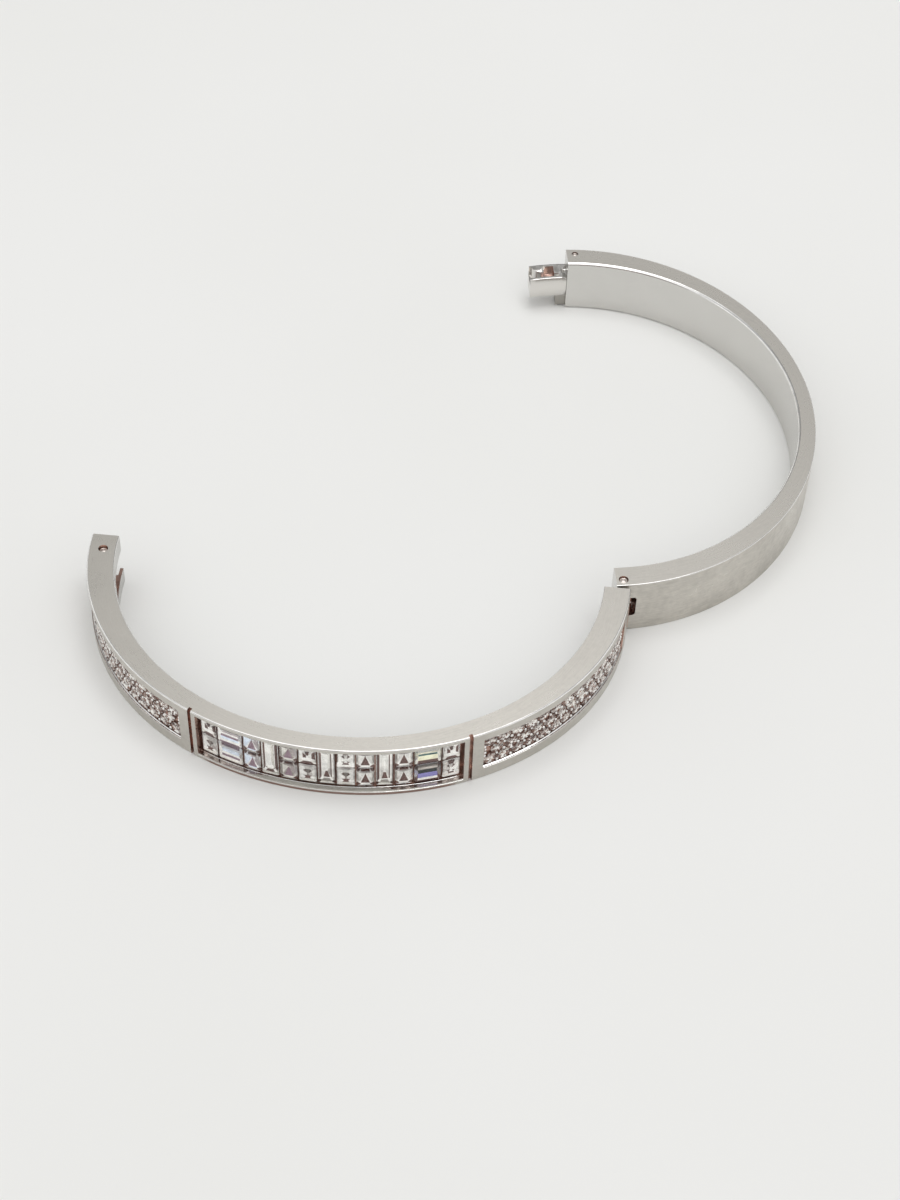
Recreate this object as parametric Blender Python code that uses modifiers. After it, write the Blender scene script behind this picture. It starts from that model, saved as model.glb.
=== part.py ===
"""Hinged oval bangle bracelet, lying on its edge with the back half swung open.

The front half carries a channel of step-cut crystals between two grooves, and a
pave field on each side. The back half turns on a vertical hinge pin at +X. At
the other end a sprung tongue on the back half enters a slot in the front half
and hooks behind a catch pin.

Both halves are drawn closed, as one oval round the origin, in millimetres.
Then the back half is turned about the hinge axis, and everything is moved so
that the origin is under the middle of the open bangle.
"""
import math

import bmesh
import bpy
from mathutils import Matrix, Vector

MM = 0.001

# Band: two ovals and a height
OUTER_A = 31.0
OUTER_B = 27.95
INNER_A = 27.9
INNER_B = 25.9
BAND_HEIGHT = 7.46
FRONT_EDGES = (0.15, 0.1)      # chamfer of the front's outer edges, then its inner edges
BACK_EDGES = (0.08, 0.28)      # the same for the back
BAND_STEPS = 72

# Where the halves meet when closed
FRONT_CLASP_Y = 0.35
FRONT_HINGE_Y = -0.65
BACK_CLASP_Y = 0.6
BACK_HINGE_Y = -0.15

# Hinge at +X
HINGE_X = 30.05
HINGE_Y = 0.7
HINGE_PIN_RADIUS = 0.52
OPEN_ANGLE = 80.3
KNUCKLE_RADIUS = 0.93
KNUCKLE_ROOT = 1.3
FORK_LOW = 2.4
FORK_HIGH = 5.3
FORK_INNER_X = 28.9
FORK_END_Y = 2.3
FORK_CORNER = 0.35

# Clasp at -X: u runs from the back half's end face into the front half, v from the inner wall out
SLOT_LOW = 2.1
SLOT_HIGH = 5.15
SLOT_DEPTH = 5.1
TONGUE_LENGTH = 4.9
TONGUE_SKIN = 0.04
CATCH_PIN_U = 2.45
CATCH_PIN_V = 1.45
CATCH_PIN_RADIUS = 0.52
CHANNEL_DEPTH = 1.3
CHANNEL_WALL = 0.5
SEAT_START_U = 1.65
SEAT_END_U = 3.05
SEAT_OUTER_V = 2.65
NOSE_V = 1.5
PIVOT_U = -1.1
PIVOT_V = 2.1
PIVOT_PIN_RADIUS = 0.4
MORTISE_DEPTH = 3.3
MORTISE_WALL = 0.55
TAIL_U = -2.6
TAIL_V = 1.0
LUG_LENGTH = 1.3
LUG_INNER_V = 0.5
LUG_OUTER_V = 1.9
LUG_HIGH = 1.95
SPRING_THICKNESS = 0.1

# Pins
PIN_CLEARANCE = 0.04
HINGE_PIN_RECESS = 0.12
CATCH_PIN_RECESS = 0.3
TONGUE_PIN_RECESS = 0.06
PIN_FLOOR = 0.6
RUNNING_GAP = 0.06
PIN_SIDES = 32

# Decoration, measured along the outer wall from the middle of the front
GROOVE_ARC = 15.7
GROOVE_WIDTH = 0.42
GROOVE_DEPTH = 0.45
CHANNEL_ARC = 14.95
CHANNEL_LOW = 0.85
CHANNEL_HIGH = 6.98
CHANNEL_FLOOR = 1.3
STONE_LOW = 1.0
STONE_HIGH = 6.78
STONE_GAP = 0.08
STONE_TABLE = 0.55
STONE_GIRDLE = 0.84
STONE_CULET = 1.25
STONE_PATTERN = "PHPVPPVPPVPHP"
STONE_PITCH = {"P": 2.12, "V": 2.08, "H": 3.15}
PAVE_START_ARC = 17.2
PAVE_END_ARC = 41.8
PAVE_LOW = 1.7
PAVE_HIGH = 6.34
PAVE_FLOOR = 0.8
PAVE_PLATE_TOP = 0.5
PAVE_TABLE = 0.16
PAVE_STONE_RADIUS = 0.72
PAVE_COLUMNS = 14
PAVE_ROW_SPACING = 1.45
PAVE_MARGIN = 0.03


def oval_point(a, b, angle):
    """Point of an oval at a parametric angle in radians."""
    return Vector((a * math.cos(angle), b * math.sin(angle)))


def oval_x(a, b, y):
    """Half the oval's width at height y."""
    return a * math.sqrt(1.0 - (y / b) ** 2)


def wall_normal(angle):
    """Outward normal of the outer oval."""
    return Vector((math.cos(angle) / OUTER_A, math.sin(angle) / OUTER_B)).normalized()


def angle_at_arc(arc):
    """Parametric angle of the outer wall, arc mm along it from the middle of the front."""
    steps = 400
    angle = -math.pi / 2
    for _ in range(steps):
        speed = math.hypot(OUTER_A * math.sin(angle), OUTER_B * math.cos(angle))
        angle += arc / steps / speed
    return angle


def wall_point(angle, depth):
    """Point of the outer wall, depth mm inside it."""
    return oval_point(OUTER_A, OUTER_B, angle) - depth * wall_normal(angle)


def clasp_point(u, v):
    """Point of the clasp end, from u along the band and v outwards from the inner wall."""
    y = BACK_CLASP_Y - u
    return Vector((-(oval_x(INNER_A, INNER_B, y) + v), y))


def new_material(name, colour, metallic, roughness, transmission=0.0):
    material = bpy.data.materials.new(name)
    material.use_nodes = True
    shader = material.node_tree.nodes["Principled BSDF"]
    shader.inputs["Base Color"].default_value = (*colour, 1.0)
    shader.inputs["Metallic"].default_value = metallic
    shader.inputs["Roughness"].default_value = roughness
    shader.inputs["Transmission Weight"].default_value = transmission
    return material


def link_mesh(name, bm, collection):
    """Make an object from a bmesh drawn in millimetres."""
    bmesh.ops.scale(bm, vec=Vector((MM, MM, MM)), verts=bm.verts)
    bmesh.ops.recalc_face_normals(bm, faces=bm.faces)
    mesh = bpy.data.meshes.new(name)
    bm.to_mesh(mesh)
    bm.free()
    obj = bpy.data.objects.new(name, mesh)
    collection.objects.link(obj)
    return obj


def flat_piece(name, outline, low, high, collection):
    """Extrude a flat outline between two heights."""
    curve = bpy.data.curves.new(name, "CURVE")
    curve.dimensions = "2D"
    curve.fill_mode = "BOTH"
    curve.extrude = (high - low) / 2
    spline = curve.splines.new("POLY")
    spline.points.add(len(outline) - 1)
    for point, place in zip(spline.points, outline):
        point.co = (place[0], place[1], 0.0, 1.0)
    spline.use_cyclic_u = True
    guide = bpy.data.objects.new(name + "_outline", curve)
    collection.objects.link(guide)
    graph = bpy.context.evaluated_depsgraph_get()
    mesh = bpy.data.meshes.new_from_object(guide.evaluated_get(graph))
    bpy.data.objects.remove(guide)
    bm = bmesh.new()
    bm.from_mesh(mesh)
    bmesh.ops.remove_doubles(bm, verts=bm.verts, dist=0.0001)
    bmesh.ops.translate(bm, vec=Vector((0, 0, (low + high) / 2)), verts=bm.verts)
    return link_mesh(name, bm, collection)


def rod(name, centre, radius, low, high, collection):
    """Vertical round pin or drill."""
    bm = bmesh.new()
    place = Matrix.Translation((centre[0], centre[1], (low + high) / 2))
    bmesh.ops.create_cone(bm, cap_ends=True, segments=PIN_SIDES, radius1=radius, radius2=radius,
                          depth=high - low, matrix=place)
    return link_mesh(name, bm, collection)


def block(name, corner, opposite, collection):
    """Upright box between two corners."""
    bm = bmesh.new()
    bmesh.ops.create_cube(bm, size=1.0)
    size = Vector(opposite) - Vector(corner)
    bmesh.ops.scale(bm, vec=size, verts=bm.verts)
    bmesh.ops.translate(bm, vec=Vector(corner) + size / 2, verts=bm.verts)
    return link_mesh(name, bm, collection)


def wall_strip(start, end, inner_depth, outer_depth, steps):
    """Outline of a strip that follows the outer wall between two angles and two depths."""
    angles = [start + (end - start) * i / steps for i in range(steps + 1)]
    outer = [wall_point(angle, outer_depth) for angle in angles]
    inner = [wall_point(angle, inner_depth) for angle in angles]
    return outer + inner[::-1]


def boolean(target, tool, operation):
    modifier = target.modifiers.new(tool.name, "BOOLEAN")
    modifier.operation = operation
    modifier.solver = "EXACT"
    modifier.object = tool


def cut(target, *tools):
    for tool in tools:
        tool.hide_render = True
        tool.display_type = "WIRE"
        boolean(target, tool, "DIFFERENCE")


def join(target, *tools):
    for tool in tools:
        tool.hide_render = True
        tool.display_type = "WIRE"
        boolean(target, tool, "UNION")


def smooth(obj):
    obj.data.shade_smooth()
    obj.data.set_sharp_from_angle(angle=math.radians(30))


def offset_line(points, distance):
    """Polyline moved to its left; its ends slide along lines of constant y."""
    normals = []
    for near, far in zip(points, points[1:]):
        along = (far - near).normalized()
        normals.append(Vector((-along.y, along.x)))
    moved = [points[0] + Vector((distance / normals[0].x, 0))]
    for point, first, second in zip(points[1:-1], normals, normals[1:]):
        middle = (first + second).normalized()
        moved.append(point + middle * (distance / middle.dot(first)))
    moved.append(points[-1] + Vector((distance / normals[-1].x, 0)))
    return moved


def band_half(name, right_y, left_y, side, edges, collection):
    """Half of the oval band; side is -1 for the front half, 1 for the back half."""
    outer_edge, inner_edge = edges
    walls = []
    for a, b in ((OUTER_A, OUTER_B), (INNER_A, INNER_B)):
        start = math.asin(right_y / b)
        end = side * math.pi - math.asin(left_y / b)
        angles = [start + (end - start) * i / BAND_STEPS for i in range(BAND_STEPS + 1)]
        walls.append([oval_point(a, b, angle) for angle in angles])
    outer, inner = walls
    outer_inset = offset_line(outer, side * outer_edge)
    inner_inset = offset_line(inner, -side * inner_edge)
    rows = ((outer, outer_edge), (outer, BAND_HEIGHT - outer_edge), (outer_inset, BAND_HEIGHT),
            (inner_inset, BAND_HEIGHT), (inner, BAND_HEIGHT - inner_edge), (inner, inner_edge),
            (inner_inset, 0.0), (outer_inset, 0.0))
    bm = bmesh.new()
    verts = [[bm.verts.new((point.x, point.y, height)) for point in line] for line, height in rows]
    for row, follow in zip(verts, verts[1:] + verts[:1]):
        for i in range(BAND_STEPS):
            bm.faces.new((row[i], row[i + 1], follow[i + 1], follow[i]))
    bm.faces.new([row[0] for row in verts])
    bm.faces.new([row[-1] for row in verts])
    bmesh.ops.recalc_face_normals(bm, faces=bm.faces)
    band = link_mesh(name, bm, collection)
    smooth(band)
    return band


def knuckle(collection):
    """Middle hinge lug of the front half, rounded about the pin."""
    centre = Vector((HINGE_X, HINGE_Y))
    root_y = FRONT_HINGE_Y - KNUCKLE_ROOT
    outline = [(HINGE_X + KNUCKLE_RADIUS, root_y)]
    for i in range(13):
        turn = math.pi * i / 12
        outline.append(centre + KNUCKLE_RADIUS * Vector((math.cos(turn), math.sin(turn))))
    outline.append((HINGE_X - KNUCKLE_RADIUS, root_y))
    return flat_piece("knuckle", outline, FORK_LOW + RUNNING_GAP, FORK_HIGH - RUNNING_GAP, collection)


def groove(side, collection):
    """Upright groove across the outer wall."""
    angle = angle_at_arc(side * GROOVE_ARC)
    half_turn = GROOVE_WIDTH / 2 / math.hypot(OUTER_A * math.sin(angle), OUTER_B * math.cos(angle))
    outline = wall_strip(angle - half_turn, angle + half_turn, GROOVE_DEPTH, -1.0, 1)
    return flat_piece("groove", outline, -1.0, BAND_HEIGHT + 1.0, collection)


def pave_angles(side):
    ends = [angle_at_arc(side * arc) for arc in (PAVE_START_ARC, PAVE_END_ARC)]
    return sorted(ends)


def pave_window(side, collection):
    start, end = pave_angles(side)
    outline = wall_strip(start, end, PAVE_FLOOR, -1.0, 28)
    return flat_piece("pave_window", outline, PAVE_LOW, PAVE_HIGH, collection)


def stone_channel(collection):
    edge = angle_at_arc(CHANNEL_ARC)
    outline = wall_strip(-math.pi - edge, edge, CHANNEL_FLOOR, -1.0, 36)
    return flat_piece("stone_channel", outline, CHANNEL_LOW, CHANNEL_HIGH, collection)


def clasp_slot(collection):
    """Slot through the front half's end for the tongue."""
    low_y = FRONT_CLASP_Y - SLOT_DEPTH
    return block("clasp_slot", (-33, low_y, SLOT_LOW), (-25, 2, SLOT_HIGH), collection)


def lug_recess(collection):
    """Notch in the front half's lower lip for the locating lug."""
    clear = 0.12
    outer = clasp_point(LUG_LENGTH, LUG_OUTER_V + clear)
    inner = clasp_point(LUG_LENGTH, LUG_INNER_V - clear)
    corner = (outer.x, outer.y - clear, -1.0)
    return block("lug_recess", corner, (inner.x, 2.0, SLOT_LOW + 0.3), collection)


def front_band(parts, cutters):
    band = band_half("front_band", FRONT_HINGE_Y, FRONT_CLASP_Y, -1, FRONT_EDGES, parts)
    join(band, knuckle(cutters))
    catch = clasp_point(CATCH_PIN_U, CATCH_PIN_V)
    hinge_drill = rod("hinge_drill", (HINGE_X, HINGE_Y), HINGE_PIN_RADIUS + PIN_CLEARANCE, 0, 9, cutters)
    catch_drill = rod("catch_drill", catch, CATCH_PIN_RADIUS + PIN_CLEARANCE, 4.5, 9, cutters)
    cut(band, stone_channel(cutters), pave_window(-1, cutters), pave_window(1, cutters))
    cut(band, groove(-1, cutters), groove(1, cutters))
    cut(band, clasp_slot(cutters), lug_recess(cutters), hinge_drill, catch_drill)
    return band


def locating_lug(collection):
    corner = clasp_point(LUG_LENGTH, LUG_OUTER_V)
    opposite = clasp_point(0, LUG_INNER_V)
    low = (corner.x, corner.y, max(BACK_EDGES))
    return block("locating_lug", low, (opposite.x, BACK_CLASP_Y + 0.5, LUG_HIGH), collection)


def tongue_mortise(collection):
    """Pocket in the back half's end, open to the end and to the outer wall."""
    outline = [clasp_point(u, MORTISE_WALL) for u in (1.0, 0.0, -1.1, -2.2, -MORTISE_DEPTH)]
    outline += [(-33.0, BACK_CLASP_Y + MORTISE_DEPTH), (-33.0, BACK_CLASP_Y - 1.0)]
    return flat_piece("tongue_mortise", outline, SLOT_LOW, SLOT_HIGH, collection)


def back_band(parts, cutters):
    band = band_half("back_band", BACK_HINGE_Y, BACK_CLASP_Y, 1, BACK_EDGES, parts)
    join(band, locating_lug(cutters))
    fork = block("fork_slot", (FORK_INNER_X, -2, FORK_LOW), (33, FORK_END_Y, FORK_HIGH), cutters)
    corners = fork.modifiers.new("milled_corners", "BEVEL")
    corners.width = FORK_CORNER * MM
    corners.segments = 3
    hinge_drill = rod("fork_drill", (HINGE_X, HINGE_Y), HINGE_PIN_RADIUS + PIN_CLEARANCE,
                      PIN_FLOOR, 9, cutters)
    pivot = clasp_point(PIVOT_U, PIVOT_V)
    pivot_drill = rod("pivot_drill", pivot, PIVOT_PIN_RADIUS + PIN_CLEARANCE, PIN_FLOOR, 9, cutters)
    cut(band, fork, tongue_mortise(cutters), hinge_drill, pivot_drill)
    return band


def pin(name, centre, radius, low, recess, parts):
    piece = rod(name, centre, radius, low, BAND_HEIGHT - recess, parts)
    smooth(piece)
    return piece


def tongue_outline():
    """Plan of the tongue: a tail in the mortise and a full-width blade outside."""
    tip = TONGUE_LENGTH
    full = oval_x(OUTER_A, OUTER_B, BACK_CLASP_Y) - oval_x(INNER_A, INNER_B, BACK_CLASP_Y)
    outer = [clasp_point(tip * i / 5, full - TONGUE_SKIN) for i in range(5, 0, -1)]
    outer += [clasp_point(PIVOT_U, full - TONGUE_SKIN), clasp_point(TAIL_U, full - 0.3)]
    inner = [clasp_point(TAIL_U, TAIL_V), clasp_point(PIVOT_U - 0.5, MORTISE_WALL + 0.27)]
    inner += [clasp_point(u, MORTISE_WALL + RUNNING_GAP) for u in (-0.1, RUNNING_GAP)]
    inner += [clasp_point(RUNNING_GAP + (tip - RUNNING_GAP) * i / 5, TONGUE_SKIN) for i in range(6)]
    return outer + inner


def hook_channel(collection):
    """Channel milled in the tongue's top: a seat for the catch pin behind a ramped nose."""
    inner = [clasp_point(u, CHANNEL_WALL) for u in (0.9, 2.2, 3.5, TONGUE_LENGTH + 1.0)]
    ramp = []
    for i in range(9):
        turn = math.pi / 2 * i / 8
        u = SEAT_END_U + (TONGUE_LENGTH - 0.35 - SEAT_END_U) * math.sin(turn)
        v = NOSE_V + (SEAT_OUTER_V + 0.2 - NOSE_V) * (1 - math.cos(turn))
        ramp.append(clasp_point(u, v))
    mouth = [clasp_point(TONGUE_LENGTH + 1.0, SEAT_OUTER_V + 0.2)]
    seat = [clasp_point(SEAT_END_U, SEAT_OUTER_V), clasp_point(SEAT_START_U, SEAT_OUTER_V)]
    run_out = [clasp_point(SEAT_START_U, CHANNEL_WALL + 0.65), clasp_point(0.9, CHANNEL_WALL + 0.65)]
    outline = inner + mouth + ramp[::-1] + seat + run_out
    top = SLOT_HIGH - RUNNING_GAP
    return flat_piece("hook_channel", outline, top - CHANNEL_DEPTH, top + 1.0, collection)


def clasp_tongue(parts, cutters):
    low = SLOT_LOW + RUNNING_GAP
    high = SLOT_HIGH - RUNNING_GAP
    tongue = flat_piece("clasp_tongue", tongue_outline(), low, high, parts)
    pivot = clasp_point(PIVOT_U, PIVOT_V)
    pivot_bore = rod("pivot_bore", pivot, PIVOT_PIN_RADIUS + PIN_CLEARANCE, 0, 9, cutters)
    dimple = rod("spring_dimple", clasp_point(0.35, 1.5), 0.22, high - 0.6, 9, cutters)
    cut(tongue, hook_channel(cutters), pivot_bore, dimple)
    return tongue


def tongue_spring(parts):
    """Bowed leaf between the mortise's inner wall and the tongue's tail."""
    outline = []
    for offset, order in ((0.0, 1), (SPRING_THICKNESS, -1)):
        side = []
        for i in range(13):
            share = i / 12
            bow = 0.26 * math.sin(math.pi * share)
            u = -MORTISE_DEPTH + 0.15 + 1.9 * share
            side.append(clasp_point(u, MORTISE_WALL + 0.03 + 0.4 * bow + offset))
        outline += side[::order]
    return flat_piece("tongue_spring", outline, SLOT_LOW + 0.3, SLOT_HIGH - 0.3, parts)


def step_cut_stone(name, width, height, arc, low, parts):
    """Step-cut crystal: a crown to a flat table, and a pavilion to a blunt keel."""
    bm = bmesh.new()
    bmesh.ops.create_cube(bm, size=1.0)
    girdle = 0.1
    bmesh.ops.scale(bm, vec=Vector((width, girdle, height)), verts=bm.verts)
    bmesh.ops.translate(bm, vec=Vector((0, STONE_GIRDLE, 0)), verts=bm.verts)
    steps = ((-1, STONE_TABLE, 0.3), (1, (STONE_GIRDLE + STONE_CULET) / 2, 0.25), (1, STONE_CULET, 0.62))
    for side, depth, inset in steps:
        bm.faces.ensure_lookup_table()
        face = max(bm.faces, key=lambda f: side * f.calc_center_median().y)
        made = bmesh.ops.extrude_discrete_faces(bm, faces=[face])["faces"][0]
        for vert in made.verts:
            vert.co.x -= math.copysign(inset, vert.co.x)
            vert.co.z -= math.copysign(inset, vert.co.z)
            vert.co.y = depth
    angle = angle_at_arc(arc)
    normal = wall_normal(angle)
    turn = math.atan2(normal.y, normal.x) + math.pi / 2
    place = oval_point(OUTER_A, OUTER_B, angle)
    matrix = Matrix.Translation((place.x, place.y, low + height / 2)) @ Matrix.Rotation(turn, 4, "Z")
    bmesh.ops.transform(bm, matrix=matrix, verts=bm.verts)
    return link_mesh(name, bm, parts)


def channel_stones(parts):
    """Thirteen cells of single or paired stones, from -X to +X."""
    total = sum(STONE_PITCH[cell] for cell in STONE_PATTERN)
    arc = -total / 2
    stones = []
    for number, cell in enumerate(STONE_PATTERN, start=1):
        pitch = STONE_PITCH[cell]
        centre = arc + pitch / 2
        arc += pitch
        width = pitch * 0.97 - STONE_GAP
        height = STONE_HIGH - STONE_LOW
        name = f"crystal_{number:02d}"
        if cell == "V":
            stones.append(step_cut_stone(name, width, height, centre, STONE_LOW, parts))
        else:
            half = (height - STONE_GAP) / 2
            stones.append(step_cut_stone(name + "_low", width, half, centre, STONE_LOW, parts))
            stones.append(step_cut_stone(name + "_high", width, half, centre, STONE_HIGH - half, parts))
    return stones


def pave_stones(side, cutters):
    """Three staggered rows of round stones, as low cones standing in the plate."""
    bm = bmesh.new()
    pitch = (PAVE_END_ARC - PAVE_START_ARC) / PAVE_COLUMNS
    middle = (PAVE_LOW + PAVE_HIGH) / 2
    for row in (-1, 0, 1):
        count = PAVE_COLUMNS - (row == 0)
        for column in range(count):
            arc = PAVE_START_ARC + pitch * (column + (0.5 if row else 1.0))
            angle = angle_at_arc(side * arc)
            normal = wall_normal(angle)
            base = PAVE_PLATE_TOP + 0.1
            centre = wall_point(angle, (base + PAVE_TABLE) / 2)
            turn = math.atan2(normal.y, normal.x)
            matrix = Matrix.Translation((centre.x, centre.y, middle + row * PAVE_ROW_SPACING))
            matrix = matrix @ Matrix.Rotation(turn, 4, "Z") @ Matrix.Rotation(math.pi / 2, 4, "Y")
            bmesh.ops.create_cone(bm, cap_ends=True, segments=8, radius1=PAVE_STONE_RADIUS,
                                  radius2=PAVE_STONE_RADIUS * 0.55, depth=base - PAVE_TABLE, matrix=matrix)
    return link_mesh("pave_stones", bm, cutters)


def pave_field(name, side, parts, cutters):
    start, end = pave_angles(side)
    trim = PAVE_MARGIN / OUTER_B
    outline = wall_strip(start + trim, end - trim, PAVE_FLOOR - PAVE_MARGIN, PAVE_PLATE_TOP, 28)
    field = flat_piece(name, outline, PAVE_LOW + PAVE_MARGIN, PAVE_HIGH - PAVE_MARGIN, parts)
    join(field, pave_stones(side, cutters))
    return field


def turn_about_hinge(point):
    """Place of a closed-pose point once the back half is swung open."""
    hinge = Vector((HINGE_X, HINGE_Y))
    turn = Matrix.Rotation(-math.radians(OPEN_ANGLE), 2)
    return hinge + turn @ (Vector(point) - hinge)


def open_centre():
    """Middle of the open bangle's footprint."""
    angles = [math.radians(i / 4) for i in range(721)]
    front = [oval_point(OUTER_A, OUTER_B, -angle) for angle in angles]
    back = [turn_about_hinge(oval_point(OUTER_A, OUTER_B, angle)) for angle in angles]
    tip = turn_about_hinge(clasp_point(0, 0))
    xs = [point.x for point in front + back]
    ys = [point.y for point in front + back] + [tip.y]
    return Vector(((min(xs) + max(xs)) / 2, (min(ys) + max(ys)) / 2))


def empty(name, parent, location, collection):
    obj = bpy.data.objects.new(name, None)
    obj.empty_display_size = 0.005
    obj.parent = parent
    obj.location = location
    collection.objects.link(obj)
    return obj


def paint(objects, material):
    for obj in objects:
        obj.data.materials.clear()
        obj.data.materials.append(material)


def attach(objects, parent, offset=(0.0, 0.0)):
    """Parent objects drawn in closed coordinates to an empty that stands at offset."""
    for obj in objects:
        obj.parent = parent
        obj.location = (-offset[0] * MM, -offset[1] * MM, 0.0)


def main():
    for obj in list(bpy.data.objects):
        bpy.data.objects.remove(obj)
    scene = bpy.context.scene
    parts = bpy.data.collections.new("bangle_bracelet")
    cutters = bpy.data.collections.new("cutters")
    scene.collection.children.link(parts)
    scene.collection.children.link(cutters)

    steel = new_material("satin_steel", (0.62, 0.60, 0.58), 1.0, 0.32)
    bright_steel = new_material("polished_steel", (0.72, 0.70, 0.68), 1.0, 0.12)
    crystal = new_material("crystal", (0.95, 0.96, 0.98), 0.0, 0.02, 0.9)

    front = [front_band(parts, cutters)]
    catch = clasp_point(CATCH_PIN_U, CATCH_PIN_V)
    catch_low = SLOT_HIGH - RUNNING_GAP - CHANNEL_DEPTH + 0.15
    front_pins = [pin("catch_pin", catch, CATCH_PIN_RADIUS, catch_low, CATCH_PIN_RECESS, parts)]
    stones = channel_stones(parts)
    fields = [pave_field("pave_left", -1, parts, cutters), pave_field("pave_right", 1, parts, cutters)]

    back = [back_band(parts, cutters)]
    pivot = clasp_point(PIVOT_U, PIVOT_V)
    pin_low = PIN_FLOOR + 0.05
    back_pins = [pin("hinge_pin", (HINGE_X, HINGE_Y), HINGE_PIN_RADIUS, pin_low, HINGE_PIN_RECESS, parts)]
    back_pins.append(pin("tongue_pin", pivot, PIVOT_PIN_RADIUS, pin_low, TONGUE_PIN_RECESS, parts))
    spring = tongue_spring(parts)
    tongue = clasp_tongue(parts, cutters)

    paint(front + back, steel)
    paint(front_pins + back_pins + [spring, tongue], bright_steel)
    paint(stones + fields, crystal)

    centre = open_centre()
    frame = empty("bangle_frame", None, (-centre.x * MM, -centre.y * MM, 0.0), parts)
    hinge = empty("hinge_axis", frame, (HINGE_X * MM, HINGE_Y * MM, 0.0), parts)
    hinge.rotation_euler = (0.0, 0.0, -math.radians(OPEN_ANGLE))
    pivot_place = ((pivot.x - HINGE_X) * MM, (pivot.y - HINGE_Y) * MM, 0.0)
    pivot_axis = empty("tongue_axis", hinge, pivot_place, parts)

    front_tools = [m.object for obj in front + fields for m in obj.modifiers if m.type == "BOOLEAN"]
    back_tools = [m.object for m in back[0].modifiers if m.type == "BOOLEAN"]
    tongue_tools = [m.object for m in tongue.modifiers if m.type == "BOOLEAN"]
    attach(front + front_pins + stones + fields + front_tools, frame)
    attach(back + back_pins + [spring] + back_tools, hinge, (HINGE_X, HINGE_Y))
    attach([tongue] + tongue_tools, pivot_axis, pivot)
    bpy.context.view_layer.update()


main()
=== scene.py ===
"""Looks for the hinged bangle bracelet: metal, crystals, floor, light and camera."""
import math
import random

import bmesh
import bpy
from mathutils import Matrix, Vector


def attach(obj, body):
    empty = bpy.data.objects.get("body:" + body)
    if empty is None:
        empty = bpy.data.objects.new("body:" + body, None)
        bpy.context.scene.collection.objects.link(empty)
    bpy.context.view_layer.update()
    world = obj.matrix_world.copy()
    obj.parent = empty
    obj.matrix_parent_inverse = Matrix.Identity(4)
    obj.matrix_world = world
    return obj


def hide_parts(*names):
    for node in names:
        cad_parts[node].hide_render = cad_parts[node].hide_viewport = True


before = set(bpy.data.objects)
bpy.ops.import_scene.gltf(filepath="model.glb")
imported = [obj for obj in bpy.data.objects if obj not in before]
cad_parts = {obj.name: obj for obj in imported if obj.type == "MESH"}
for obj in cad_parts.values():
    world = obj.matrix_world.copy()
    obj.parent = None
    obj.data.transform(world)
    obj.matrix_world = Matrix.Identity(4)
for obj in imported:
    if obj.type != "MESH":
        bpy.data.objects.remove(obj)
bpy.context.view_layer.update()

MM = 0.001

# Camera, millimetres and degrees in the frame
CAMERA_PLACE = (11.917, -177.632, 174.884)
CAMERA_TARGET = (-0.38, -14.55, 0.0)
CAMERA_ROLL = 2.097
CAMERA_LENS = 61.384

# Band, as in the CAD: closed coordinates in millimetres round the oval's middle
OUTER_A = 31.0
OUTER_B = 27.95
INNER_A = 27.9
INNER_B = 25.9
BAND_HEIGHT = 7.46
HINGE = Vector((30.05, 0.7))
OPEN_ANGLE = 80.3
OPEN_CENTRE = Vector((10.669, 16.585))
BACK_CLASP_Y = 0.6
CATCH_PIN = (2.45, 1.45)
TONGUE_PIN = (-1.1, 2.1)
TONGUE_TOP = 5.09

# Slack in telling which surface of a band a face is on: height in millimetres, then the
# error of the oval's equation at a wall and at a chamfer
FLAT_SLACK = 0.01
WALL_SLACK = 0.002
CHAMFER_SLACK = 0.03
LEDGE_TOP = 1.8

# Degrees that the shading of a chamfer leans up at its flat side and at its wall side
EDGE_ROUNDING = (68.0, 18.0)

# Wall below and above the stone channel: arc that is reached, distance from mid height where
# the polished lip starts, and heights between which the brown painted shade at the wall's bottom
# fades in
LIP_ARC = 15.45
LIP_FROM_MIDDLE = 2.86
FOOT_SHADE_FADE = (0.46, 0.40)

# Seat milled in the tongue for the catch pin: lowest point and reach along the tongue
SEAT_LOW = 3.5
SEAT_REACH = 1.0
TONGUE_BEVEL = 0.12

# Decoration
CHANNEL_ARC = 14.95
STONE_LOW = 1.0
STONE_HIGH = 6.78
STONE_GAP = 0.1
STONE_PATTERN = "PHPVPPVPPVPHP"
STONE_PITCH = {"P": 2.12, "V": 2.08, "H": 3.15}
PAVE_START_ARC = 17.2
PAVE_END_ARC = 41.8
PAVE_LOW = 1.7
PAVE_HIGH = 6.34
PAVE_FLOOR = 0.78
PAVE_PLATE_TOP = 0.57
PAVE_COLUMNS = 14
PAVE_ROW_SPACING = 1.47
PAVE_STONE_RADIUS = 0.80
BEAD_DEPTH = 0.36
BEAD_FLATTENING = 0.85

# Bright-cut strips under the windows: depth and height round each profile
PAVE_RIM = ((-0.02, 1.65), (0.22, 1.75), (0.22, 1.60))
CHANNEL_RIM = ((-0.02, 0.64), (0.24, 0.75), (0.50, 0.86), (0.50, 0.57))

# Paper floor: distance from the middle and height, in metres, and its two shades
FLOOR_PROFILE = ((0.0, 0.0), (0.4, 0.0), (5.0, 0.0), (7.0, 0.08), (9.0, 0.25), (11.0, 0.5))
FLOOR_DROP = 0.00002
PAPER_SHADES = ((0.845, 0.845, 0.825), (0.865, 0.865, 0.85))

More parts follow.
